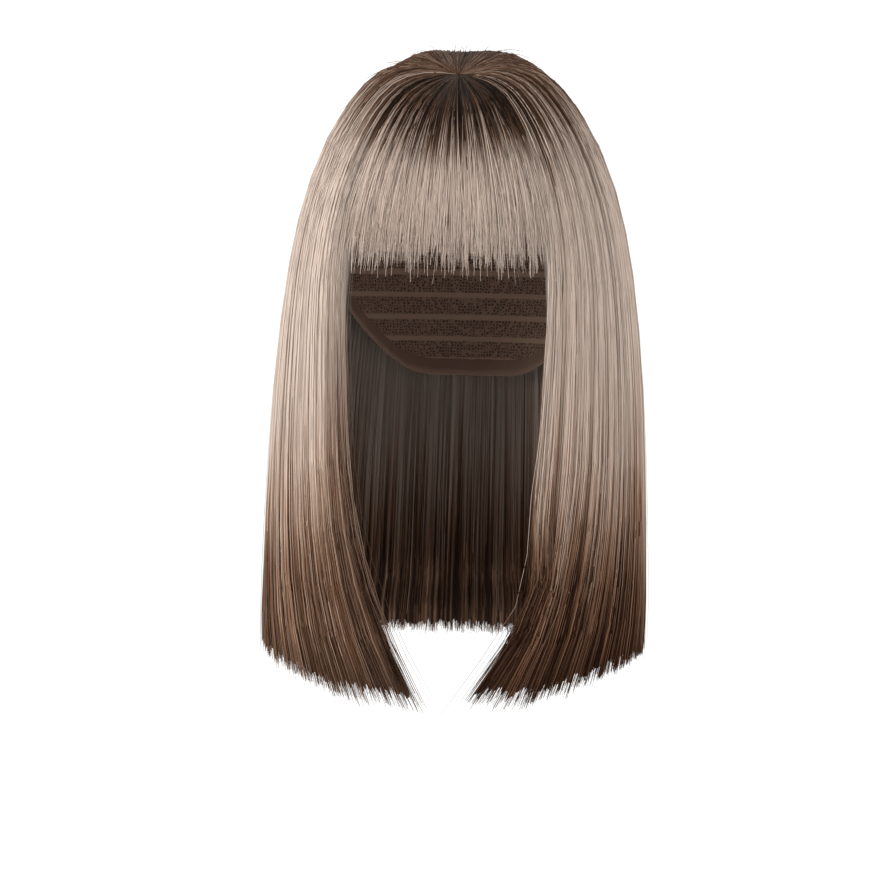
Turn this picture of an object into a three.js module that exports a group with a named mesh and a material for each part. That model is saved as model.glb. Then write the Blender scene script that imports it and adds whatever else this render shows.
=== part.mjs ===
// Straight bob wig with a full fringe: a stretch cap, and the hair sewn to it, which radiates from a whorl.
// Millimetres, +Z up. The face opening looks along -Y, and +X is the wearer's left.
// The origin is the highest inside point of the cap, where it sits on the head.
import * as THREE from "three";

const { degToRad, radToDeg, lerp, seededRandom, smoothstep } = THREE.MathUtils;

// Cap: a dome for a head of about 555 mm round, cut along CAP_EDGE.
const CAP_INNER_WIDTH = 152;
const CAP_INNER_LENGTH = 194;
const CAP_RISE = 88; // from the widest level up to the crown
const CAP_DROP = 150; // from the widest level down to where the lower half would close
const CAP_WALL = 1.5;
const CAP_COLUMNS = 48;
const CAP_ROWS = 10;

// Height of the cap's edge, by the angle in degrees from the front of the head round to the nape.
const CAP_EDGE_COLUMNS = ["angle", "z"];
const CAP_EDGE = {
  forehead: [0, -50],
  hairline: [35, -54],
  temple: [54, -84],
  ear_tab: [68, -120],
  over_ear: [96, -100],
  behind_ear: [122, -134],
  nape_corner: [148, -160],
  nape: [180, -164],
};

// Hair: its outer form, as rings about the head. Reach is the length of hair from the whorl to the ring.
// Side, front and back are where the ring crosses those planes. Wall is the depth of the hair.
// Part is the angle in degrees from the front where a curtain begins, beside the fringe and then the face.
// Edge is the depth of the hair there, as a share of the wall.
const RING_COLUMNS = [
  "reach", "midY", "sideX", "sideZ", "frontY", "frontZ", "backY", "backZ", "wall", "part", "edge",
];
const RINGS = {
  whorl: [0, -39, 3, 1.2, -42, 0.4, -36, 1.9, 6, 36, 1],
  rise: [13, -34, 13, 4.6, -53, -3.6, -22, 8, 16, 36, 1],
  crown: [30, -24, 28.5, 6.8, -67, -10.6, 14, 16.6, 20, 36, 1],
  dome: [53, -12, 46.5, 0.6, -82.5, -21.5, 53, 9.6, 20, 36, 1],
  upper_side: [83, -6, 66, -22.5, -96, -42, 85, -18, 20, 36.5, 1],
  temple: [121, 0, 82, -57.5, -105, -72, 107, -59, 18, 37, 0.9],
  brow: [164, 2, 92, -99, -108, -106, 115, -102, 15, 36, 0.6],
  cheek: [221, 2, 99, -155, -99, -158, 114, -158, 12, 32.5, 0.4],
  neck: [291, 2, 103, -225, -96, -230, 108, -226, 11, 28, 0.4],
  shoulder: [351, 2, 104.3, -284, -98, -294, 103, -284, 10, 18.5, 0.4],
  tips: [384, 2, 104, -309, -100, -333, 100, -311, 9, 8, 0.4],
};
const EDGE_WIDTH = 22; // degrees over which the wall grows from its edge to its full depth
const FRONT_ROUNDING = 2; // power of the sine by which a ring's height goes from its front to its side
const BACK_ROUNDING = 6; // and from its back to its side

// Rows of the hair's surface, closer together where it bends over the cap.
const ROW_REACHES = [0, 6, 13, 22, 34, 48, 64, 82, 100, 118, 136, 154, 172, 200, 235, 270, 300, 328, 352];

// Sections: the fringe, a curtain on each side of the face and the hair behind.
const BACK_BEGINS = 104; // degrees from the front
const BACK_ENDS = 360 - BACK_BEGINS;
const FRINGE_REACH = 166;
const LONG_REACH = 384;
const SECTIONS = [
  { name: "fringe", seed: 1, locks: 14, reach: FRINGE_REACH, span: (part) => [-part, part] },
  { name: "left_curtain", seed: 2, locks: 12, reach: LONG_REACH, span: (part) => [part, BACK_BEGINS] },
  { name: "back_curtain", seed: 3, locks: 26, reach: LONG_REACH, span: () => [BACK_BEGINS, BACK_ENDS] },
  { name: "right_curtain", seed: 4, locks: 12, reach: LONG_REACH, span: (part) => [BACK_ENDS, 360 - part] },
];
const SECTION_GAP = 0.4;
const SEAT_GAP = 0.8; // from the cap to the hair that lies on it

// Locks: ridges along the hair, each ending in a point.
const RIDGE_HEIGHT = 2.6;
const LOWEST_RIDGE = 0.5; // as a share of that height
const RIDGE_BEGINS = 4; // reach where the ridges start to rise
const RIDGE_FULL = 60; // reach where they are at their full height
const POINT_RIDGE = 0.3; // share of the height that is left at a lock's point
const LOCK_UNEVENNESS = 0.3; // of a lock's half width
const NOTCH = 9; // from a lock's point up to the gap beside it
const POINT_UNEVENNESS = 7;
const TIP_LENGTH = 45; // the hair thins out over this length
const TIP_WALL = 2;
const SEED_STEP = 100; // more than the columns of any section

const CAP_COLOUR = 0x2e2622;
const HAIR_COLOUR = 0xc9b8a8;

// A smooth curve through a table's rows: gives every column at a value of the first.
function curveThrough(columns, table) {
  const rows = Object.values(table);
  const places = rows.map((row) => row[0]);
  const curve = new THREE.CubicInterpolant(places, rows.flat(), columns.length);
  return (place) => {
    const found = curve.evaluate(place);
    return Object.fromEntries(columns.map((name, i) => [name, found[i]]));
  };
}

const capEdgeAt = curveThrough(CAP_EDGE_COLUMNS, CAP_EDGE);
const ringAt = curveThrough(RING_COLUMNS, RINGS);

// The point inside the head that the hair is measured from, at the height of a point of it.
function coreOf(point) {
  return new THREE.Vector3(0, 0, Math.min(point.z, -CAP_RISE));
}

// A point of the cap's dome. Tilt runs from 0 at the crown past a right angle at the widest level.
function domePoint(angle, tilt, offset) {
  const flat = Math.sin(tilt);
  const height = tilt < Math.PI / 2 ? CAP_RISE : CAP_DROP;
  return new THREE.Vector3(
    (CAP_INNER_WIDTH / 2 + offset) * flat * Math.sin(angle),
    -(CAP_INNER_LENGTH / 2 + offset) * flat * Math.cos(angle),
    (height + offset) * Math.cos(tilt) - CAP_RISE,
  );
}

// The tilt at which the cap is cut off.
function edgeTilt(angle) {
  const fromFront = radToDeg(Math.acos(Math.cos(angle)));
  const above = capEdgeAt(fromFront).z + CAP_RISE;
  return Math.acos(above / (above > 0 ? CAP_RISE : CAP_DROP));
}

// Moves a point that is too near the cap, or the head below it, straight out until it clears them.
function clearOfCap(point) {
  const core = coreOf(point);
  const out = point.clone().sub(core);
  const margin = CAP_WALL + SEAT_GAP;
  const halfWidth = CAP_INNER_WIDTH / 2 + margin;
  const halfLength = CAP_INNER_LENGTH / 2 + margin;
  const below = (core.z + CAP_RISE) / (CAP_DROP + margin);
  const limit = Math.sqrt(Math.max(0, 1 - below * below));
  const size = Math.hypot(out.x / halfWidth, out.y / halfLength, out.z / (CAP_RISE + margin));
  return size < limit ? core.addScaledVector(out, limit / size) : point;
}

// A point of the hair's outer form, without locks.
function hairPoint(ring, degrees) {
  const angle = degToRad(degrees);
  const forward = Math.cos(angle);
  const across = Math.sin(angle);
  const isFront = forward > 0;
  const depth = isFront ? ring.midY - ring.frontY : ring.backY - ring.midY;
  const farZ = isFront ? ring.frontZ : ring.backZ;
  const sideShare = Math.abs(across) ** (isFront ? FRONT_ROUNDING : BACK_ROUNDING);
  return new THREE.Vector3(
    ring.sideX * across,
    ring.midY - depth * forward,
    lerp(farZ, ring.sideZ, sideShare),
  );
}

// The columns of a section: for each lock its gap and then its ridge, and a last gap.
function lockColumns(section) {
  const last = 2 * section.locks;
  return Array.from({ length: last + 1 }, (_, i) => {
    const chance = seededRandom(section.seed * SEED_STEP + i);
    const isRidge = i % 2 === 1;
    const shift = i > 0 && i < last ? LOCK_UNEVENNESS * (chance - 0.5) : 0;
    return {
      across: (i + shift) / last,
      ridge: isRidge ? RIDGE_HEIGHT * lerp(LOWEST_RIDGE, 1, chance) : 0,
      end: section.reach - (isRidge ? POINT_UNEVENNESS * (1 - chance) : NOTCH),
    };
  });
}

// The outer and inner points of the hair at one column of a section.
function hairWall(section, column, reach) {
  const ring = ringAt(reach);
  const inset = radToDeg(SECTION_GAP / 2 / ring.sideX);
  const [from, to] = section.span(ring.part);
  const degrees = lerp(from + inset, to - inset, column.across);
  const surface = hairPoint(ring, degrees);
  const outward = surface.clone().sub(coreOf(surface)).normalize();
  const fromPart = Math.min(degrees, 360 - degrees) - ring.part;
  const fullWall = ring.wall * lerp(ring.edge, 1, smoothstep(fromPart, 0, EDGE_WIDTH));
  const body = smoothstep(column.end - reach, 0, TIP_LENGTH);
  const wall = lerp(TIP_WALL, fullWall, body);
  const ridge = column.ridge * smoothstep(reach, RIDGE_BEGINS, RIDGE_FULL) * lerp(POINT_RIDGE, 1, body);
  return {
    outer: surface.clone().addScaledVector(outward, ridge),
    inner: clearOfCap(surface.clone().addScaledVector(outward, -wall)),
  };
}

// A closed wall between two grids of points with the same rows and columns.
function wallGeometry(outer, inner, closedRound) {
  const rows = outer.length;
  const columns = outer[0].length;
  const points = [...outer.flat(), ...inner.flat()];
  const index = [];
  const at = (side, row, column) => (side * rows + row) * columns + (column % columns);
  const face = (a, b, c) => {
    const isFlat = points[a].equals(points[b]) || points[b].equals(points[c]) || points[c].equals(points[a]);
    if (!isFlat) index.push(a, b, c);
  };
  const quad = (a, b, c, d) => {
    face(a, b, c);
    face(a, c, d);
  };
  const lastRow = rows - 1;
  const end = columns - 1;
  for (let column = 0; column < (closedRound ? columns : end); column++) {
    const next = column + 1;
    for (let row = 0; row < lastRow; row++) {
      quad(at(0, row, column), at(0, row + 1, column), at(0, row + 1, next), at(0, row, next));
      quad(at(1, row, column), at(1, row, next), at(1, row + 1, next), at(1, row + 1, column));
    }
    quad(at(0, 0, column), at(0, 0, next), at(1, 0, next), at(1, 0, column));
    quad(at(0, lastRow, next), at(0, lastRow, column), at(1, lastRow, column), at(1, lastRow, next));
  }
  for (let row = 0; !closedRound && row < lastRow; row++) {
    quad(at(0, row + 1, 0), at(0, row, 0), at(1, row, 0), at(1, row + 1, 0));
    quad(at(0, row, end), at(0, row + 1, end), at(1, row + 1, end), at(1, row, end));
  }
  const geometry = new THREE.BufferGeometry().setFromPoints(points);
  geometry.setIndex(index);
  geometry.computeVertexNormals();
  return geometry;
}

// One surface of the cap: every column starts at the crown and runs down to the edge.
function capGrid(offset) {
  return Array.from({ length: CAP_ROWS + 1 }, (_, row) =>
    Array.from({ length: CAP_COLUMNS }, (_, column) => {
      const angle = (2 * Math.PI * column) / CAP_COLUMNS;
      return row ? domePoint(angle, (edgeTilt(angle) * row) / CAP_ROWS, offset) : domePoint(0, 0, offset);
    }),
  );
}

function makeCap() {
  const material = new THREE.MeshStandardMaterial({ color: CAP_COLOUR, roughness: 0.9, metalness: 0 });
  const cap = new THREE.Mesh(wallGeometry(capGrid(CAP_WALL), capGrid(0), true), material);
  cap.name = "cap";
  return cap;
}

function makeHair(section) {
  const columns = lockColumns(section);
  const shortest = section.reach - NOTCH - POINT_UNEVENNESS;
  const reaches = ROW_REACHES.filter((reach) => reach < shortest);
  const rows = reaches.map((reach) => columns.map((column) => hairWall(section, column, reach)));
  rows.push(columns.map((column) => hairWall(section, column, column.end)));
  const outer = rows.map((row) => row.map((pair) => pair.outer));
  const inner = rows.map((row) => row.map((pair) => pair.inner));
  const material = new THREE.MeshStandardMaterial({ color: HAIR_COLOUR, roughness: 0.45, metalness: 0 });
  const hair = new THREE.Mesh(wallGeometry(outer, inner, false), material);
  hair.name = section.name;
  return hair;
}

const wig = new THREE.Group();
wig.add(makeCap(), ...SECTIONS.map(makeHair));

export default wig;
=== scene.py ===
import math
from dataclasses import dataclass
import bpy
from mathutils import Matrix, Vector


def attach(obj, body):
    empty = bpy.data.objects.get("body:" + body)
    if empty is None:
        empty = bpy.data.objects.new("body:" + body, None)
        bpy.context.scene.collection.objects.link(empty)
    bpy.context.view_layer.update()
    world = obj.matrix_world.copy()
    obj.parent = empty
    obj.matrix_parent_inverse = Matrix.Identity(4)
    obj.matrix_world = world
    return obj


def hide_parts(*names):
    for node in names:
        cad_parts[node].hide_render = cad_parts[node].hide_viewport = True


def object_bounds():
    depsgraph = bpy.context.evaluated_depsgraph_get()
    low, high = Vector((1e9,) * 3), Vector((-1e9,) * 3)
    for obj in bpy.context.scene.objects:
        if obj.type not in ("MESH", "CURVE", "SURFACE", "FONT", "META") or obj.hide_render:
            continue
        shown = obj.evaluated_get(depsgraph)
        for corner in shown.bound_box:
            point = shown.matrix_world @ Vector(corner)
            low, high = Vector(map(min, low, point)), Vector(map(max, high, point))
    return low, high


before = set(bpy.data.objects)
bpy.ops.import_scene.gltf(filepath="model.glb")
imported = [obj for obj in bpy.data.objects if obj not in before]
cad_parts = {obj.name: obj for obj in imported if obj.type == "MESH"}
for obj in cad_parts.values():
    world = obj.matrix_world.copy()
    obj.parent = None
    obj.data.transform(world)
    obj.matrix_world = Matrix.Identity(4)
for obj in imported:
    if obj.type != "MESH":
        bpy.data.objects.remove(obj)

from types import SimpleNamespace
from typing import Callable

import bmesh
import bpy
import numpy as np
from mathutils import Matrix, Vector

cad_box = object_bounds()

# Lengths below are in millimetres, as the hair is measured, and become metres when a mesh is made.
MM = 0.001
SEED = 11

# Cap: a dome for the head, cut along CAP_EDGE, whose columns are degrees from the front and height.
CAP_INNER_WIDTH = 152
CAP_INNER_LENGTH = 194
CAP_RISE = 88
CAP_DROP = 150
CAP_WALL = 1.5
CAP_EDGE = {
    "forehead": (0, -50),
    "hairline": (35, -54),
    "temple": (54, -84),
    "ear_tab": (68, -120),
    "over_ear": (96, -100),
    "behind_ear": (122, -134),
    "nape_corner": (148, -160),
    "nape": (180, -164),
}
CAP_COLUMNS = 108
CAP_ROWS = 60
CAP_ROW_POWER = 0.8
NET_WALL = 0.7
HEM_WIDTH = 8
HEM_RISE = 0.7
HEM_ROUNDING = 1.5

# Hair: rings of its outer form, by the reach of the hair from the whorl.
RING_COLUMNS = (
    "reach", "mid_y", "side_x", "side_z", "front_y", "front_z", "back_y", "back_z", "wall", "part", "edge",
)
RINGS = {
    "whorl": (0, -39, 3, 1.2, -42, 0.4, -36, 1.9, 6, 36, 1),
    "rise": (13, -34, 13, 4.6, -53, -3.6, -22, 8, 16, 36, 1),
    "crown": (30, -24, 28.5, 6.8, -67, -10.6, 14, 16.6, 20, 36, 1),
    "dome": (53, -12, 46.5, 0.6, -82.5, -21.5, 53, 9.6, 20, 36, 1),
    "upper_side": (83, -6, 66, -22.5, -96, -42, 85, -18, 20, 36.5, 1),
    "temple": (121, 0, 82, -57.5, -105, -72, 107, -59, 18, 37, 0.9),
    "brow": (164, 2, 92, -99, -108, -106, 115, -102, 15, 36, 0.6),
    "cheek": (221, 2, 99, -155, -99, -158, 114, -158, 12, 32.5, 0.4),
    "neck": (291, 2, 103, -225, -96, -230, 108, -226, 11, 28, 0.4),
    "shoulder": (351, 2, 104.3, -284, -98, -294, 103, -284, 10, 18.5, 0.4),
    "tips": (384, 2, 104, -309, -100, -333, 100, -311, 9, 8, 0.4),
}
EDGE_WIDTH = 22
FRONT_ROUNDING = 2
BACK_ROUNDING = 6
BACK_BEGINS = 104
BACK_MIDDLE = 180
BACK_ENDS = 256
FRINGE_REACH = 166
LONG_REACH = 384
RIDGE_HEIGHT = 1.6
RIDGE_POWER = 1.5
RIDGE_BEGINS = 4
RIDGE_FULL = 60
END_THINNING = 45
END_WALL = 2
NARROWEST_TURN = 12
SEAT_GAP = 0.8

# Strands: thin tubes, with more points near the root, where they bend most. PLACES_ALONG pairs a share of
# a strand's points with the share of its length that they have passed.
STRAND_RADIUS = 0.2
STRAND_SIDES = 3
PLACES_ALONG = np.array([(0, 0), (0.36, 0.2), (0.6, 0.45), (0.74, 0.66), (0.83, 0.8), (1, 1)])
RADIUS_VARIES = (0.75, 1.25)
STRAY_THINNING = 0.6
TIP_THINNING = 0.5

# Wisps: several to a lock, each a bundle of strands that gathers towards its end.
WISPS_PER_LOCK = 11
WISP_JITTER = 0.3
WISP_WIDTH = 0.42
WISP_HOLLOW = 0.5
WISP_GATHER = 0.3
WISP_GATHER_FROM = 0.45
LIGHT_IN_WISP = 0.16
LIGHT_WIDTH = 0.35
PLACE_MARGIN = 0.002

# Roots: spread out from the whorl, those of light strands nearer to it. The further out a root is, the
# deeper its strand lies.
ROOT_FIRST = -3
ROOT_SPREAD = 4
LIGHT_NEARER = 0.4
ROOT_DEPTH = 1
ROOT_DEPTH_LENGTH = 24
ROOT_DEPTH_BEGINS = 4
ROOT_DEPTH_FULL = 20
STRAND_LAYER = 2.2
LAYER_BY_ROOT = 0.75
LIGHT_LAYER = 0.5
DEEPEST_SHARE = 0.8
INNER_LAYER = 0.7

# Ends, and how strands stray from their wisps.
INNER_SHORT = 6
STRAY_LONG = 5
EDGE_STRAY_SHORT = 50
SHORT_LENGTHS = (18, 45)
STRAY_LEAN = 3
STRAY_INWARD = 12
STRAY_STANDS = 1.4
SHORT_STANDS = (0.5, 4)
EDGE_STRAYS = 3
WAVE = 0.3
WAVE_TURNS = (0.8, 2.2)
SWEEP_BEGINS = 285

# Beside the face: shares of a section's width over which its colour and its edge change.
FACE_REGION = 0.35
FACE_EDGE = 0.2

# Underlayer: the body of hair that the strands cover, sunk deeper at the crown.
UNDER_DEPTH = 1.9
UNDER_GROOVE = 0.7
UNDER_CROWN = 1.8
UNDER_CROWN_RISES = (0, 14)
UNDER_CROWN_FALLS = (30, 90)
UNDER_ROOT = -3.5
UNDER_THINNEST = 1.2
UNDER_INSET = 0.012

# Colours: a shade is a place in the hair's range, from its root, 0, through blonde to its tip, 1.
BLONDE = 0.5
DARK_ROOT_VARIES = 0.05
LIGHT_ROOT_VARIES = 0.03
FADE_BEGINS_VARIES = 7
LIGHT_BEGINS = 24
SHORTEST_FADE = 20
LOWLIGHT = (0.06, 0.16)
TIP_LENGTH_VARIES = (0.7, 1.4)
TIP_SHADE_VARIES = (0.45, 1.3)
WISP_TIP_VARIES = 0.1
WISP_TIP_RANGE = (0.85, 1.15)
UNDER_TIP_VARIES = 0.15

# Tones: brightness round 1, which varies by wisp and strand, more the further a shade is from blonde.
# Some of it is painted shade: deeper strands, the underlayer and the hair's inside are made darker.
WISP_TONE = 0.07
STRAND_TONE = 0.09
# Painted shade: strands that lie deeper are darker and those on top lighter, for the shadow among them.
DEPTH_PAINTED_SHADE = 0.09
UNDER_TONE_VARIES = 0.1
# Painted shade: the underlayer's outer face is darker, so gaps between strands read as shadow.
UNDER_PAINTED_SHADE = 0.82
# Painted shade: the hair's inside, its strands and the underlayer's inner face, is made darker for its
# shadow.
INNER_PAINTED_SHADE = 0.5
BLONDE_TONE = 0.5
ROOT_TONE = 5.5
TIP_TONE = 2.5
TONE_RANGE = (0.4, 1.6)


@dataclass
class Look:
    """How the strands of a section lie and are coloured. What isn't given is as in the hair behind.

    A pair of values holds beside the face, where the hair parts from the fringe, and away from it.
    """

    # Shares of strands on the inside, out of their wisps, short and on end, and dark along the blonde,
    # and the share of wisps with strands that are light from the root
    inner_share: float = 0.16
    stray_share: float = 0.05
    short_share: float = 0.018
    low_share: float = 0.2
    light_share: float = 0.35
    # How far to the side roots are found, and how far ends lean
    root_width: float = 78
    lean: float = 1.1
    # Ends: how far past the section's reach, how far short of that and how evenly, how much wisps differ,
    # and where strands begin to thin
    end_shift: float = 3
    end_spread: float = 9
    end_power: float = 1.3
    wisp_spread: float = 1.2
    taper_from: float = 0.92
    # Where the underlayer ends, and how unevenly
    under_end: float = -1
    under_jag: float = 6
    # Beside the face: how much shorter, how far swept towards its middle at the ends and bowed above them,
    # how much more of it is brown, and its brightness, a painted shade of an edge turned from the light
    edge_short: float = 0
    sweep: float = 0
    bow: float = 0
    edge_brown: float = 0
    edge_painted_shade: float = 1
    # Shades at the root, and where along the hair they fade to blonde
    root: tuple = (0.14, 0.14)
    light_root: float = 0.22
    fade_begins: tuple = (47, 47)
    fade_ends: tuple = (126, 126)
    fade_spread: float = 20
    # How far from its end the hair begins to turn brown and is brownest, and how brown
    tip_length: float = 164
    tip_full: float = 20
    tip_shade: float = 1.06


FRINGE_LOOK = Look(
    inner_share=0.1, stray_share=0.06, short_share=0.01, low_share=0.06, light_share=0.42,
    root_width=58, lean=3,
    end_shift=1, end_spread=34, end_power=0.6, wisp_spread=3, taper_from=0.72, under_end=-28, under_jag=14,
    root=(0.02, 0.02), light_root=0.08, fade_begins=(62, 62), fade_ends=(106, 106), fade_spread=10,
    tip_length=70, tip_full=0, tip_shade=0,
)
LEFT_LOOK = Look(
    low_share=0.22, edge_short=4, bow=-10, edge_brown=-0.1,
    root=(0.04, 0.14), fade_begins=(64, 55), fade_ends=(120, 129), fade_spread=20,
    tip_length=162, tip_full=0, tip_shade=1.32,
)
RIGHT_LOOK = Look(
    # Its edge beside the face is darkened: painted shade of an edge turned from the key light.
    low_share=0.16, edge_short=2, sweep=6, edge_brown=0.7, edge_painted_shade=0.69,
    root=(0.04, 0.14), fade_begins=(64, 45), fade_ends=(114, 112), fade_spread=16,
    tip_length=129, tip_full=42, tip_shade=0.86,
)
BACK_LOOK = Look()


@dataclass
class Section:
    """A section of hair, which lies round the head from one side of its width, 0, to the other, 1."""

    node: str
    look: Look
    # Degrees from the front where it begins and ends, worked out from where the hair parts beside the face
    span: Callable
    locks: int
    reach: float = LONG_REACH
    # The side beside the face, if any, and the part of the width that has an underlayer, short of that side
    face_side: int | None = None
    under_span: tuple = (0, 1)
    # Strands and the points of each, and the underlayer's grid
    strands: int = 1775
    strand_points: int = 18
    under_columns: int = 180
    under_rows: int = 28


SECTIONS = {
    "fringe": Section(
        "fringe", FRINGE_LOOK, lambda part: (-part, part), locks=14, reach=FRINGE_REACH,
        strands=1900, strand_points=12, under_columns=130, under_rows=24,
    ),
    "left": Section(
        "left_curtain", LEFT_LOOK, lambda part: (part, BACK_BEGINS), locks=12,
        face_side=0, under_span=(UNDER_INSET, 1),
    ),
    "right": Section(
        "right_curtain", RIGHT_LOOK, lambda part: (BACK_ENDS, 360 - part), locks=12,
        face_side=1, under_span=(0, 1 - UNDER_INSET),
    ),
    "back_left": Section("back_curtain", BACK_LOOK, lambda part: (BACK_BEGINS, BACK_MIDDLE), locks=13),
    "back_right": Section("back_curtain", BACK_LOOK, lambda part: (BACK_MIDDLE, BACK_ENDS), locks=13),
}


def smoothstep(x, low, high):
    t = np.clip((x - low) / (high - low), 0, 1)
    return t * t * (3 - 2 * t)


def curve_through(table):
    """A smooth curve through a table's rows: all columns at values of the first, straight past the ends."""
    rows = np.array(list(table.values()), float)
    place = rows[:, 0]
    slope = np.diff(rows, axis=0) / np.diff(place)[:, None]
    tangent = np.vstack([slope[:1], (slope[:-1] + slope[1:]) / 2, slope[-1:]])

    def at(values):
        values = np.asarray(values, float)
        inside = np.clip(values, place[0], place[-1])
        i = np.clip(np.searchsorted(place, inside, "right") - 1, 0, len(place) - 2)
        span = (place[i + 1] - place[i])[..., None]
        t = ((inside - place[i])[..., None]) / span
        start, end = rows[i], rows[i + 1]
        rise = (1 - t) * tangent[i] * span - t * tangent[i + 1] * span - (1 - 2 * t) * (end - start)
        found = (1 - t) * start + t * end + t * (1 - t) * rise
        past = (values - inside)[..., None]
        return found + past * np.where(past > 0, tangent[-1], tangent[0])

    return at


ring_curve = curve_through(RINGS)
cap_edge_curve = curve_through(CAP_EDGE)


def ring_at(reach):
    found = ring_curve(reach)
    return {name: found[..., i] for i, name in enumerate(RING_COLUMNS)}


def reach_at_side(side_x):
    """The reach at which the crown is as wide as this to either side."""
    rows = np.array(list(RINGS.values()), float)
    return np.interp(side_x, rows[:, RING_COLUMNS.index("side_x")], rows[:, RING_COLUMNS.index("reach")])


def core_of(points):
    """The points of the head's upright middle line that hair points are led out from."""
    core = np.zeros_like(points)
    core[..., 2] = np.minimum(points[..., 2], -CAP_RISE)
    return core


def outward_of(points):
    out = points - core_of(points)
    return out / np.linalg.norm(out, axis=-1, keepdims=True)


def clear_of_cap(points, margin):
    """Moves points that are within margin of the cap's inside, or of the hollow below it, straight out."""
    core = core_of(points)
    out = points - core
    half = np.array([CAP_INNER_WIDTH / 2, CAP_INNER_LENGTH / 2, CAP_RISE]) + margin
    below = (core[..., 2] + CAP_RISE) / (CAP_DROP + margin)
    limit = np.sqrt(np.maximum(0, 1 - below * below))
    size = np.linalg.norm(out / half, axis=-1)
    grow = np.maximum(1, limit / np.maximum(size, 1e-6))
    return core + out * grow[..., None]


def hair_point(ring, degrees):
    angle = np.radians(degrees)
    forward, across = np.cos(angle), np.sin(angle)
    is_front = forward > 0
    depth = np.where(is_front, ring["mid_y"] - ring["front_y"], ring["back_y"] - ring["mid_y"])
    far_z = np.where(is_front, ring["front_z"], ring["back_z"])
    side_share = np.abs(across) ** np.where(is_front, FRONT_ROUNDING, BACK_ROUNDING)
    x = ring["side_x"] * across
    y = ring["mid_y"] - depth * forward
    z = far_z + (ring["side_z"] - far_z) * side_share
    return np.stack([x, y, z], -1)


def wall_at(ring, degrees, from_end):
    """Thickness of the hair: thin along the face, and thinning towards its end."""
    from_part = np.minimum(degrees, 360 - degrees) - ring["part"]
    wall = ring["wall"] * (ring["edge"] + (1 - ring["edge"]) * smoothstep(from_part, 0, EDGE_WIDTH))
    return np.minimum(wall, END_WALL + wall * smoothstep(from_end, 0, END_THINNING))


def hair_surface(section, reach, end, place, sideways):
    """Points on a section's outer form with its locks, the way out there, and the hair's thickness."""
    ring = ring_at(reach)
    low, high = section.span(ring["part"])
    turn = np.degrees(sideways / np.maximum(ring["side_x"], NARROWEST_TURN))
    degrees = low + (high - low) * place + turn
    surface = hair_point(ring, degrees)
    outward = outward_of(surface)
    in_lock = (place * section.locks) % 1
    swell = smoothstep(reach, RIDGE_BEGINS, RIDGE_FULL)
    ridge = RIDGE_HEIGHT * (1 - np.abs(2 * in_lock - 1) ** RIDGE_POWER) * swell
    return surface + outward * ridge[..., None], outward, wall_at(ring, degrees, end - reach)


def spread_places(count):
    """Places from 0 to 1 along a strand, closest near its root."""
    return np.interp(np.linspace(0, 1, count), *PLACES_ALONG.T)


def near_face(section, place, width):
    """1 beside the face, falling to 0 over a share of the section's width."""
    if section.face_side is None:
        return np.zeros_like(place)
    return 1 - smoothstep(np.abs(place - section.face_side), 0, width)


def inward_of(section):
    """Which way round the head is towards the face."""
    return -1 if section.face_side == 0 else 1


def sweep_at(section, place, reach):
    """How far the hair beside the face is swept round to its middle, at its ends and just above them."""
    look = section.look
    low = smoothstep(reach, SWEEP_BEGINS, LONG_REACH)
    sweep = look.sweep * low + look.bow * 4 * low * (1 - low)
    return inward_of(section) * near_face(section, place, FACE_EDGE) * sweep


def draw_colours(look, near, light, tip_factor, rng):
    """Draws how each strand is coloured along its length, for strands that are light at the root or not."""
    shape = light.shape

    def of_pair(pair):
        return pair[1] + (pair[0] - pair[1]) * near

    dark_root = np.maximum(of_pair(look.root) + rng.normal(0, DARK_ROOT_VARIES, shape), 0)
    light_root = look.light_root + rng.normal(0, LIGHT_ROOT_VARIES, shape)
    begins = of_pair(look.fade_begins) + rng.normal(0, FADE_BEGINS_VARIES, shape)
    begins = np.where(light, LIGHT_BEGINS, begins)
    ends = of_pair(look.fade_ends) + rng.normal(0, look.fade_spread, shape)
    lowlight = (rng.random(shape) < look.low_share) & ~light
    body = BLONDE - np.where(lowlight, rng.uniform(*LOWLIGHT, shape), 0)
    tip_length = look.tip_length * tip_factor * (1 + look.edge_brown * near**2)
    return SimpleNamespace(
        root=np.where(light, light_root, dark_root),
        fade_begins=begins,
        fade_ends=np.maximum(ends, begins + SHORTEST_FADE),
        body=body,
        tip_length=tip_length * rng.uniform(*TIP_LENGTH_VARIES, shape),
        tip_full=look.tip_full,
        tip_shade=look.tip_shade * rng.uniform(*TIP_SHADE_VARIES, shape),
    )


def shade_along(colours, reach, end):
    from_root = smoothstep(reach, colours.fade_begins, colours.fade_ends)
    towards_tip = colours.tip_shade * smoothstep(end - reach, colours.tip_length, colours.tip_full)
    shade = colours.root + (colours.body - colours.root) * from_root + (1 - colours.body) * towards_tip
    return np.clip(shade, 0, 1)


def tone_of(shade, vary):
    strength = BLONDE_TONE + np.where(shade < BLONDE, ROOT_TONE, TIP_TONE) * np.abs(shade - BLONDE)
    return np.clip(1 + vary * strength, *TONE_RANGE)


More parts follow.
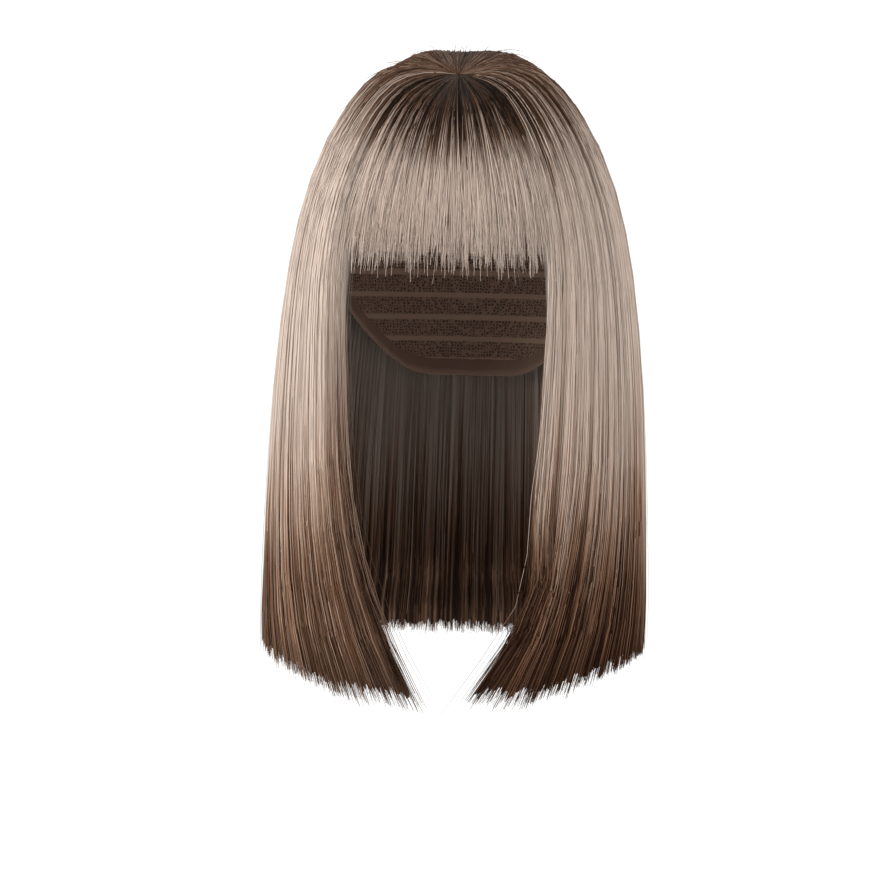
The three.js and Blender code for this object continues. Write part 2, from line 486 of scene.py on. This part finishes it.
def grow_strands(section, rng):
    """Paths of a section's strands, with radii, shades and tones."""
    look = section.look
    shape = (section.strands, 1)
    wisps = section.locks * WISPS_PER_LOCK

    # What the strands of a wisp share
    wisp = rng.integers(0, wisps, shape)
    middle = ((np.arange(wisps) + 0.5 + rng.uniform(-WISP_JITTER, WISP_JITTER, wisps)) / wisps)[wisp]
    wisp_tone = rng.normal(0, WISP_TONE, wisps)[wisp]
    wisp_end = rng.normal(0, look.wisp_spread, wisps)[wisp]
    wisp_tip = np.clip(rng.normal(1, WISP_TIP_VARIES, wisps), *WISP_TIP_RANGE)[wisp]
    light_wisp = (rng.random(wisps) < look.light_share)[wisp]

    # The kind of each strand
    light = light_wisp & (rng.random(shape) < LIGHT_IN_WISP)
    beside = np.clip(rng.normal(0, WISP_WIDTH, shape), -1, 1) * np.where(light, LIGHT_WIDTH, 1)
    inner = (rng.random(shape) < look.inner_share) & ~light
    near = near_face(section, middle, FACE_REGION)
    at_edge = near_face(section, middle, FACE_EDGE)
    stray = rng.random(shape) < look.stray_share * (1 + EDGE_STRAYS * at_edge)
    short = rng.random(shape) < look.short_share

    # Root and end
    from_whorl = np.where(light, LIGHT_NEARER, 1) * rng.random(shape)
    root = ROOT_SPREAD * rng.random(shape) + ROOT_FIRST + reach_at_side(from_whorl * look.root_width)
    end = section.reach + look.end_shift + wisp_end - look.end_spread * rng.random(shape) ** look.end_power
    end = end - INNER_SHORT * inner * rng.random(shape) + STRAY_LONG * stray * rng.random(shape)
    end = end - (look.edge_short + EDGE_STRAY_SHORT * stray * rng.random(shape) ** 2) * at_edge
    end = np.where(short, root + rng.uniform(*SHORT_LENGTHS, shape), end)

    # The way along the hair's surface
    t = spread_places(section.strand_points)
    reach = root + (end - root) * t
    gather = 1 - WISP_GATHER * smoothstep(t, WISP_GATHER_FROM, 1)
    place = np.clip(middle + beside / wisps * gather, PLACE_MARGIN, 1 - PLACE_MARGIN)
    lean = (look.lean * (1 + at_edge) + STRAY_LEAN * stray) * rng.normal(0, 1, shape)
    lean = lean + inward_of(section) * STRAY_INWARD * stray * at_edge * rng.random(shape)
    wave = WAVE * np.sin(2 * np.pi * (t * rng.uniform(*WAVE_TURNS, shape) + rng.random(shape)))
    sideways = lean * t**2 + wave * np.sqrt(t) + sweep_at(section, middle, reach)
    surface, outward, wall = hair_surface(section, reach, end, place, sideways)

    # The depth under it
    order = LAYER_BY_ROOT * from_whorl + (1 - LAYER_BY_ROOT) * rng.random(shape)
    layer = STRAND_LAYER * order * np.where(light, LIGHT_LAYER, 1) + WISP_HOLLOW * beside**2
    rooted = ROOT_DEPTH * (1 - smoothstep(reach - root, 0, ROOT_DEPTH_LENGTH))
    rooted = rooted * smoothstep(root, ROOT_DEPTH_BEGINS, ROOT_DEPTH_FULL)
    outer_depth = np.minimum(layer, DEEPEST_SHARE * wall) + rooted
    depth = np.where(inner, wall - INNER_LAYER * layer, outer_depth)
    stand = stray * np.abs(rng.normal(0, STRAY_STANDS, shape)) + short * rng.uniform(*SHORT_STANDS, shape)
    paths = surface + outward * (stand * t**2 - depth)[..., None]
    paths = clear_of_cap(paths, CAP_WALL + SEAT_GAP)

    thickness = np.where(stray | short, STRAY_THINNING, 1) * rng.uniform(*RADIUS_VARIES, shape)
    radii = STRAND_RADIUS * thickness * (1 - TIP_THINNING * smoothstep(t, look.taper_from, 1))
    colours = draw_colours(look, near, light, wisp_tip, rng)
    shade = shade_along(colours, reach, np.where(short, section.reach, end))
    # Painted shade: strands that lie deeper are made darker, those on top lighter.
    vary = wisp_tone + rng.normal(0, STRAND_TONE, shape) - DEPTH_PAINTED_SHADE * (layer - STRAND_LAYER / 2)
    # Painted shade: strands on the inside are made darker, for the shadow there.
    tone = np.where(inner, INNER_PAINTED_SHADE, 1) * tone_of(shade, vary)
    # Painted shade: strands at the edge beside the face are darker, as if turned from the light.
    tone = tone * (1 + (look.edge_painted_shade - 1) * at_edge**2)
    return paths, radii, shade, tone


def grow_underlayer(section, rng):
    """Outer and inner points of the hair under a section's strands, with shades and tones of both."""
    look = section.look
    shape = (section.under_columns, 1)
    place = np.linspace(*section.under_span, section.under_columns)[:, None]
    end = section.reach + look.under_end - look.under_jag * rng.random(shape)
    end = end - look.edge_short * near_face(section, place, FACE_EDGE)
    reach = UNDER_ROOT + (end - UNDER_ROOT) * spread_places(section.under_rows)
    sideways = sweep_at(section, place, reach)
    surface, outward, wall = hair_surface(section, reach, end, place, sideways)
    at_crown = smoothstep(reach, *UNDER_CROWN_RISES) - smoothstep(reach, *UNDER_CROWN_FALLS)
    depth = UNDER_DEPTH + UNDER_GROOVE * rng.random(shape) + UNDER_CROWN * at_crown
    inner_depth = np.maximum(wall - UNDER_DEPTH, depth + UNDER_THINNEST)
    seat = CAP_WALL + SEAT_GAP
    outer = clear_of_cap(surface - outward * depth[..., None], seat + UNDER_THINNEST)
    inner = clear_of_cap(surface - outward * inner_depth[..., None], seat)
    near = near_face(section, place, FACE_REGION)
    is_light = np.zeros(shape, bool)
    colours = draw_colours(look, near, is_light, rng.normal(1, UNDER_TIP_VARIES, shape), rng)
    shade = shade_along(colours, reach, section.reach)
    tone = tone_of(shade, rng.normal(0, UNDER_TONE_VARIES, shape))
    # Painted shade: the underlayer is darker outside, for the shadow in gaps between strands, and darker
    # still inside.
    tones = np.stack([UNDER_PAINTED_SHADE * tone, INNER_PAINTED_SHADE * tone])
    return np.stack([outer, inner]), np.stack([shade, shade]), tones


def make_piece(name, node, mesh_parts, attributes, material):
    """A piece from arrays: points in millimetres, triangles, a uv for each corner, and point attributes."""
    points, triangles, uvs = mesh_parts
    mesh = bpy.data.meshes.new(name)
    mesh.vertices.add(len(points))
    mesh.vertices.foreach_set("co", (points * MM).astype(np.float32).ravel())
    mesh.loops.add(triangles.size)
    mesh.loops.foreach_set("vertex_index", triangles.astype(np.int32).ravel())
    mesh.polygons.add(len(triangles))
    mesh.polygons.foreach_set("loop_start", np.arange(0, triangles.size, 3, dtype=np.int32))
    mesh.update(calc_edges=True)
    mesh.shade_smooth()
    layer = mesh.uv_layers.new(name="OFBake")
    layer.data.foreach_set("uv", uvs.astype(np.float32).ravel())
    for label, values in attributes.items():
        attribute = mesh.attributes.new(label, "FLOAT", "POINT")
        attribute.data.foreach_set("value", values.astype(np.float32).ravel())
    mesh.validate()
    mesh.materials.append(material)
    piece = bpy.data.objects.new(name, mesh)
    bpy.context.scene.collection.objects.link(piece)
    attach(piece, "root")
    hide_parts(node)
    return piece


# Map of the strands: each has a cell of its own, in this many rows, with a margin that is a share of it.
STRAND_MAP_ROWS = 8
STRAND_MAP_MARGIN = 0.12
STRAND_MAP_CAP = 0.03


def strand_tubes(paths, radii):
    """Closed tubes of three sides along paths (strand, point, xyz): points, triangles and corner uvs."""
    count, steps = paths.shape[:2]
    tangent = np.gradient(paths, axis=1)
    tangent /= np.linalg.norm(tangent, axis=-1, keepdims=True)
    side = np.cross(tangent, outward_of(paths))
    side /= np.linalg.norm(side, axis=-1, keepdims=True)
    lift = np.cross(side, tangent)
    turn = 2 * np.pi * np.arange(STRAND_SIDES) / STRAND_SIDES + np.pi / 2
    spoke = side[..., None, :] * np.cos(turn)[:, None] + lift[..., None, :] * np.sin(turn)[:, None]
    points = paths[..., None, :] + spoke * radii[..., None, None]

    step, k = np.meshgrid(np.arange(steps - 1), np.arange(STRAND_SIDES), indexing="ij")
    step, k = step.ravel(), k.ravel()
    following = (k + 1) % STRAND_SIDES
    a, b = step * STRAND_SIDES + k, step * STRAND_SIDES + following
    c, d = b + STRAND_SIDES, a + STRAND_SIDES
    last = (steps - 1) * STRAND_SIDES
    ends = np.array([[0, 1, 2], [last + 2, last + 1, last]])
    local = np.vstack([np.stack([a, c, b], 1), np.stack([a, d, c], 1), ends])
    triangles = (np.arange(count) * steps * STRAND_SIDES)[:, None, None] + local

    u0, u1 = k / STRAND_SIDES, (k + 1) / STRAND_SIDES
    v0, v1 = step / (steps - 1), (step + 1) / (steps - 1)
    first = np.stack([u0, v0, u1, v1, u1, v0], 1).reshape(-1, 3, 2)
    second = np.stack([u0, v0, u0, v1, u1, v1], 1).reshape(-1, 3, 2)
    root_cap = [[0, 0], [1, 0], [0.5, -STRAND_MAP_CAP]]
    end_cap = [[0, 1], [1, 1], [0.5, 1 + STRAND_MAP_CAP]]
    cell_uv = np.vstack([first, second, np.array([root_cap, end_cap])])
    columns = math.ceil(count / STRAND_MAP_ROWS)
    cell = np.stack([np.arange(count) % columns, np.arange(count) // columns], 1)
    inset = STRAND_MAP_MARGIN + (1 - 2 * STRAND_MAP_MARGIN) * cell_uv
    uvs = (cell[:, None, None, :] + inset) / np.array([columns, STRAND_MAP_ROWS])
    return points.reshape(-1, 3), triangles.reshape(-1, 3), uvs.reshape(-1, 2)


# Map of a wall: the box of each of its faces, from its lowest corner to its highest.
WALL_MAP = {
    "outer": (0.01, 0.04, 0.49, 0.96),
    "inner": (0.51, 0.04, 0.99, 0.96),
    "end": (0.01, 0.97, 0.49, 0.99),
    "root": (0.51, 0.97, 0.99, 0.99),
    "first_side": (0.01, 0.01, 0.49, 0.03),
    "last_side": (0.51, 0.01, 0.99, 0.03),
}


def wall_faces(columns, rows, wraps):
    """Triangles and corner uvs of a closed wall between two grids, the outer first, each (column, row)."""
    size = columns * rows
    triangles, uvs = [], []

    def strip(a, b, c, d, face, across, along):
        """Two triangles for each quad a b c d, with uvs in a face's box of the map."""
        u0, v0, u1, v1 = WALL_MAP[face]
        u = [u0 + (u1 - u0) * (across[0] + i) / across[1] for i in (0, 1)]
        v = [v0 + (v1 - v0) * (along[0] + i) / along[1] for i in (0, 1)]
        corners = ((0, 0), (0, 1), (1, 1), (1, 0))
        corner = [np.stack(np.broadcast_arrays(u[i], v[j]), -1) for i, j in corners]
        triangles.append(np.stack([a, b, c, a, c, d], -1).reshape(-1, 3))
        order = (0, 1, 2, 0, 2, 3)
        uvs.append(np.stack([corner[i].reshape(-1, 2) for i in order], 1).reshape(-1, 2))

    spans = columns if wraps else columns - 1
    column, row = np.meshgrid(np.arange(spans), np.arange(rows - 1), indexing="ij")
    column, row = column.ravel(), row.ravel()
    following = (column + 1) % columns
    a, b = column * rows + row, following * rows + row
    around, down = (column, spans), (row, rows - 1)
    strip(a, a + 1, b + 1, b, "outer", around, down)
    strip(size + b, size + b + 1, size + a + 1, size + a, "inner", around, down)

    column = np.arange(spans)
    first, after = column * rows, (column + 1) % columns * rows
    last, last_after = first + rows - 1, after + rows - 1
    around, down = (column, spans), (0, 1)
    strip(last, size + last, size + last_after, last_after, "end", around, down)
    if not wraps:
        strip(size + first, first, after, size + after, "root", around, down)
        row = np.arange(rows - 1)
        far = (columns - 1) * rows + row
        around = (row, rows - 1)
        strip(row + 1, row, size + row, size + row + 1, "first_side", around, down)
        strip(far, far + 1, size + far + 1, size + far, "last_side", around, down)
    return np.vstack(triangles), np.vstack(uvs)


def make_material(name):
    material = bpy.data.materials.new(name)
    material.use_nodes = True
    nodes = material.node_tree.nodes
    return material, nodes, material.node_tree.links, nodes["Principled BSDF"]


def srgb(red, green, blue):
    linear = [((v / 255 + 0.055) / 1.055) ** 2.4 if v > 10 else v / 255 / 12.92 for v in (red, green, blue)]
    return (*linear, 1)


def set_ramp(ramp, stops):
    elements = ramp.color_ramp.elements
    while len(elements) < len(stops):
        elements.new(0.5)
    for element, (position, colour) in zip(elements, stops.values()):
        element.position = position
        element.color = colour


HAIR_STOPS = {
    "root": (0, srgb(15, 8, 4)),
    "brown root": (0.2, srgb(90, 65, 49)),
    "blonde": (BLONDE, srgb(198, 181, 168)),
    "light brown": (0.62, srgb(176, 153, 136)),
    "brown": (0.8, srgb(119, 86, 64)),
    "tip": (1, srgb(41, 21, 10)),
}
HAIR_ROUGHNESS = 0.6
HAIR_SPECULAR = 0.08


def hair_material():
    material, nodes, links, shader = make_material("hair_fibre")
    shade = nodes.new("ShaderNodeAttribute")
    shade.attribute_name = "shade"
    ramp = nodes.new("ShaderNodeValToRGB")
    set_ramp(ramp, HAIR_STOPS)
    tone = nodes.new("ShaderNodeAttribute")
    tone.attribute_name = "tone"
    vary = nodes.new("ShaderNodeHueSaturation")
    links.new(shade.outputs["Fac"], ramp.inputs["Fac"])
    links.new(ramp.outputs["Color"], vary.inputs["Color"])
    links.new(tone.outputs["Fac"], vary.inputs["Value"])
    links.new(vary.outputs["Color"], shader.inputs["Base Color"])
    shader.inputs["Roughness"].default_value = HAIR_ROUGHNESS
    shader.inputs["Specular IOR Level"].default_value = HAIR_SPECULAR
    return material


# Sockets of a mix node that carry its colours
MIX_COLOURS = (6, 7)
MIX_RESULT = 2

# Cap's net, with threads as a share of a cell, its rows of weft and its hem
NET_CELL = 1.7
NET_RANDOMNESS = 0.6
THREAD_WIDTH = 0.16
WEFT_SPACING = 13
WEFT_WIDTH = 3
HEM_RIB = 1.4
CAP_BUMP = 0.4
CAP_BUMP_STRENGTH = 0.6
CAP_ROUGHNESS = 0.85
NET_THREAD = srgb(132, 106, 90)
NET_HOLE = srgb(66, 50, 41)
WEFT_COLOUR = srgb(150, 124, 107)
HEM_COLOUR = srgb(112, 88, 74)


def cap_material():
    """Net with sewn rows of weft and a ribbed hem, by distances up from its edge, round it and down."""
    material, nodes, links, shader = make_material("cap_net")

    def attribute(name):
        node = nodes.new("ShaderNodeAttribute")
        node.attribute_name = name
        return node.outputs["Fac"]

    def maths(operation, first, second):
        node = nodes.new("ShaderNodeMath")
        node.operation = operation
        for socket, value in zip(node.inputs, (first, second)):
            if isinstance(value, (int, float)):
                socket.default_value = value
            else:
                links.new(value, socket)
        return node.outputs["Value"]

    def mix(share, first, second):
        node = nodes.new("ShaderNodeMix")
        node.data_type = "RGBA"
        links.new(share, node.inputs["Factor"])
        for i, colour in zip(MIX_COLOURS, (first, second)):
            socket = node.inputs[i]
            if isinstance(colour, tuple):
                socket.default_value = colour
            else:
                links.new(colour, socket)
        return node.outputs[MIX_RESULT]

    coordinates = nodes.new("ShaderNodeTexCoord")
    net = nodes.new("ShaderNodeTexVoronoi")
    net.feature = "DISTANCE_TO_EDGE"
    net.inputs["Scale"].default_value = 1 / (NET_CELL * MM)
    net.inputs["Randomness"].default_value = NET_RANDOMNESS
    links.new(coordinates.outputs["Object"], net.inputs["Vector"])
    thread = maths("LESS_THAN", net.outputs["Distance"], THREAD_WIDTH)
    weft = maths("LESS_THAN", maths("PINGPONG", attribute("down"), WEFT_SPACING / 2), WEFT_WIDTH / 2)
    hem = maths("LESS_THAN", attribute("along"), HEM_WIDTH)
    rib = maths("PINGPONG", attribute("around"), HEM_RIB / 2)
    colour = mix(thread, NET_HOLE, NET_THREAD)
    colour = mix(weft, colour, WEFT_COLOUR)
    colour = mix(hem, colour, HEM_COLOUR)
    links.new(colour, shader.inputs["Base Color"])

    plain = maths("SUBTRACT", 1, hem)
    raised = maths("MULTIPLY", maths("MAXIMUM", thread, weft), plain)
    height = maths("ADD", raised, maths("MULTIPLY", rib, hem))
    bump = nodes.new("ShaderNodeBump")
    bump.inputs["Strength"].default_value = CAP_BUMP_STRENGTH
    bump.inputs["Distance"].default_value = CAP_BUMP * MM
    links.new(height, bump.inputs["Height"])
    links.new(bump.outputs["Normal"], shader.inputs["Normal"])
    shader.inputs["Roughness"].default_value = CAP_ROUGHNESS
    return material


def make_cap():
    """The cap's net wall, with a thicker hem along its edge."""
    angle = 2 * np.pi * np.arange(CAP_COLUMNS)[:, None] / CAP_COLUMNS
    edge_z = cap_edge_curve(np.degrees(np.arccos(np.cos(angle))))[..., 1]
    above = edge_z + CAP_RISE
    edge_tilt = np.arccos(above / np.where(above > 0, CAP_RISE, CAP_DROP))
    tilt = edge_tilt * np.linspace(0, 1, CAP_ROWS) ** CAP_ROW_POWER
    height = np.where(tilt < np.pi / 2, CAP_RISE, CAP_DROP)
    along = (edge_tilt - tilt) * (CAP_RISE + height) / 2
    around = np.broadcast_to(angle * (CAP_INNER_WIDTH + CAP_INNER_LENGTH) / 4, tilt.shape)
    down = CAP_RISE * np.minimum(tilt, np.pi / 2) + CAP_DROP * np.maximum(tilt - np.pi / 2, 0)
    hem = HEM_RISE * smoothstep(HEM_WIDTH - along, 0, HEM_ROUNDING)
    hem = hem * (1 + smoothstep(along, 0, HEM_ROUNDING)) / 2
    middle = CAP_WALL / 2

    def dome(offset):
        flat = np.sin(tilt)
        x = (CAP_INNER_WIDTH / 2 + offset) * flat * np.sin(angle)
        y = -(CAP_INNER_LENGTH / 2 + offset) * flat * np.cos(angle)
        return np.stack([x, y, (height + offset) * np.cos(tilt) - CAP_RISE], -1)

    points = np.stack([dome(middle + NET_WALL / 2 + hem / 2), dome(middle - NET_WALL / 2 - hem / 2)])
    triangles, uvs = wall_faces(CAP_COLUMNS, CAP_ROWS, wraps=True)
    distances = {"along": along, "around": around, "down": down}
    on_walls = {label: np.stack([values, values]) for label, values in distances.items()}
    mesh_parts = (points.reshape(-1, 3), triangles, uvs)
    cap = make_piece("cap_net", "cap", mesh_parts, on_walls, cap_material())
    joined = bmesh.new()
    joined.from_mesh(cap.data)
    bmesh.ops.remove_doubles(joined, verts=joined.verts, dist=1e-6)
    joined.to_mesh(cap.data)
    joined.free()


def make_hair():
    material = hair_material()
    for number, (name, section) in enumerate(SECTIONS.items()):
        rng = np.random.default_rng(SEED + number)
        paths, radii, shade, tone = grow_strands(section, rng)
        sides = np.ones(STRAND_SIDES)
        on_sides = {"shade": shade[..., None] * sides, "tone": tone[..., None] * sides}
        make_piece(name + "_strands", section.node, strand_tubes(paths, radii), on_sides, material)
        points, shade, tone = grow_underlayer(section, rng)
        triangles, uvs = wall_faces(section.under_columns, section.under_rows, wraps=False)
        mesh_parts = (points.reshape(-1, 3), triangles, uvs)
        on_walls = {"shade": shade, "tone": tone}
        make_piece(name + "_underlayer", section.node, mesh_parts, on_walls, material)


# Camera: angles in degrees, then metres.
CAMERA_AZIMUTH = 5
CAMERA_ELEVATION = 3
CAMERA_ROLL = 1.2
CAMERA_DISTANCE = 1.9
CAMERA_AIM_ACROSS = -0.0074
CAMERA_AIM_UP = -0.1994
PIXEL_SIZE = 0.00055
IMAGE_PIXELS = 887
SENSOR = 36
CLIP_END = 50


def make_camera():
    data = bpy.data.cameras.new("camera")
    camera = bpy.data.objects.new("camera", data)
    bpy.context.scene.collection.objects.link(camera)
    azimuth, elevation, roll = (math.radians(v) for v in (CAMERA_AZIMUTH, CAMERA_ELEVATION, CAMERA_ROLL))
    back = Vector((
        math.sin(azimuth) * math.cos(elevation),
        -math.cos(azimuth) * math.cos(elevation),
        math.sin(elevation),
    ))
    right = Vector((math.cos(azimuth), math.sin(azimuth), 0))
    up = back.cross(right)
    rolled_right = right * math.cos(roll) + up * math.sin(roll)
    rolled_up = up * math.cos(roll) - right * math.sin(roll)
    place = Vector((0, 0, CAMERA_AIM_UP)) + right * CAMERA_AIM_ACROSS + back * CAMERA_DISTANCE
    rows = [(rolled_right[i], rolled_up[i], back[i], place[i]) for i in range(3)]
    camera.matrix_world = Matrix([*rows, (0, 0, 0, 1)])
    data.sensor_width = SENSOR
    data.lens = CAMERA_DISTANCE / PIXEL_SIZE / IMAGE_PIXELS * SENSOR
    data.clip_end = CLIP_END
    bpy.context.scene.camera = camera


# Floor, in metres, which sweeps up behind.
FLOOR_DROP = 0.25
FLOOR_FRONT = -30
FLOOR_BEND_FROM = 2
FLOOR_BEND = 1.5
FLOOR_TOP = 6
FLOOR_HALF_WIDTH = 30
FLOOR_BEND_STEPS = 16
FLOOR_COLOUR = (0.82, 0.82, 0.82, 1)
FLOOR_ROUGHNESS = 0.9
FLOOR_GLOW = 0.3
WHITE = (1, 1, 1, 1)


def make_floor():
    material, _, _, shader = make_material("pale_floor")
    shader.inputs["Base Color"].default_value = FLOOR_COLOUR
    shader.inputs["Roughness"].default_value = FLOOR_ROUGHNESS
    shader.inputs["Emission Color"].default_value = WHITE
    shader.inputs["Emission Strength"].default_value = FLOOR_GLOW
    floor_z = cad_box[0].z - FLOOR_DROP
    profile = [(FLOOR_FRONT, 0)]
    for i in range(FLOOR_BEND_STEPS + 1):
        angle = math.pi / 2 * i / FLOOR_BEND_STEPS
        y = FLOOR_BEND_FROM + FLOOR_BEND * math.sin(angle)
        profile.append((y, FLOOR_BEND * (1 - math.cos(angle))))
    profile.append((FLOOR_BEND_FROM + FLOOR_BEND, FLOOR_TOP))
    points = [(x, y, floor_z + z) for y, z in profile for x in (-FLOOR_HALF_WIDTH, FLOOR_HALF_WIDTH)]
    faces = [(2 * i, 2 * i + 1, 2 * i + 3, 2 * i + 2) for i in range(len(profile) - 1)]
    mesh = bpy.data.meshes.new("floor")
    mesh.from_pydata(points, [], faces)
    mesh.shade_smooth()
    mesh.materials.append(material)
    floor = bpy.data.objects.new("floor", mesh)
    bpy.context.scene.collection.objects.link(floor)


# Lights: place in metres, size and power of each, all turned to LIGHT_AIM.
LIGHT_AIM = Vector((0, 0, -0.15))
LIGHTS = {
    "key": ((-1.4, -2.0, 0.5), 1.4, 47),
    "fill": ((1.6, -1.8, 0.4), 1.6, 16),
    "top": ((0.1, 0.6, 1.8), 1.2, 14),
}
WORLD_STRENGTH = 0.62


def make_lights():
    for name, (place, size, power) in LIGHTS.items():
        data = bpy.data.lights.new(name, "AREA")
        data.shape = "DISK"
        data.size = size
        data.energy = power
        light = bpy.data.objects.new(name, data)
        light.location = place
        light.rotation_euler = (LIGHT_AIM - Vector(place)).to_track_quat("-Z", "Y").to_euler()
        bpy.context.scene.collection.objects.link(light)
    world = bpy.data.worlds.new("studio")
    bpy.context.scene.world = world
    world.use_nodes = True
    background = world.node_tree.nodes["Background"]
    background.inputs["Color"].default_value = WHITE
    background.inputs["Strength"].default_value = WORLD_STRENGTH
    bpy.context.scene.view_settings.view_transform = "Standard"


make_cap()
make_hair()
make_camera()
make_floor()
make_lights()
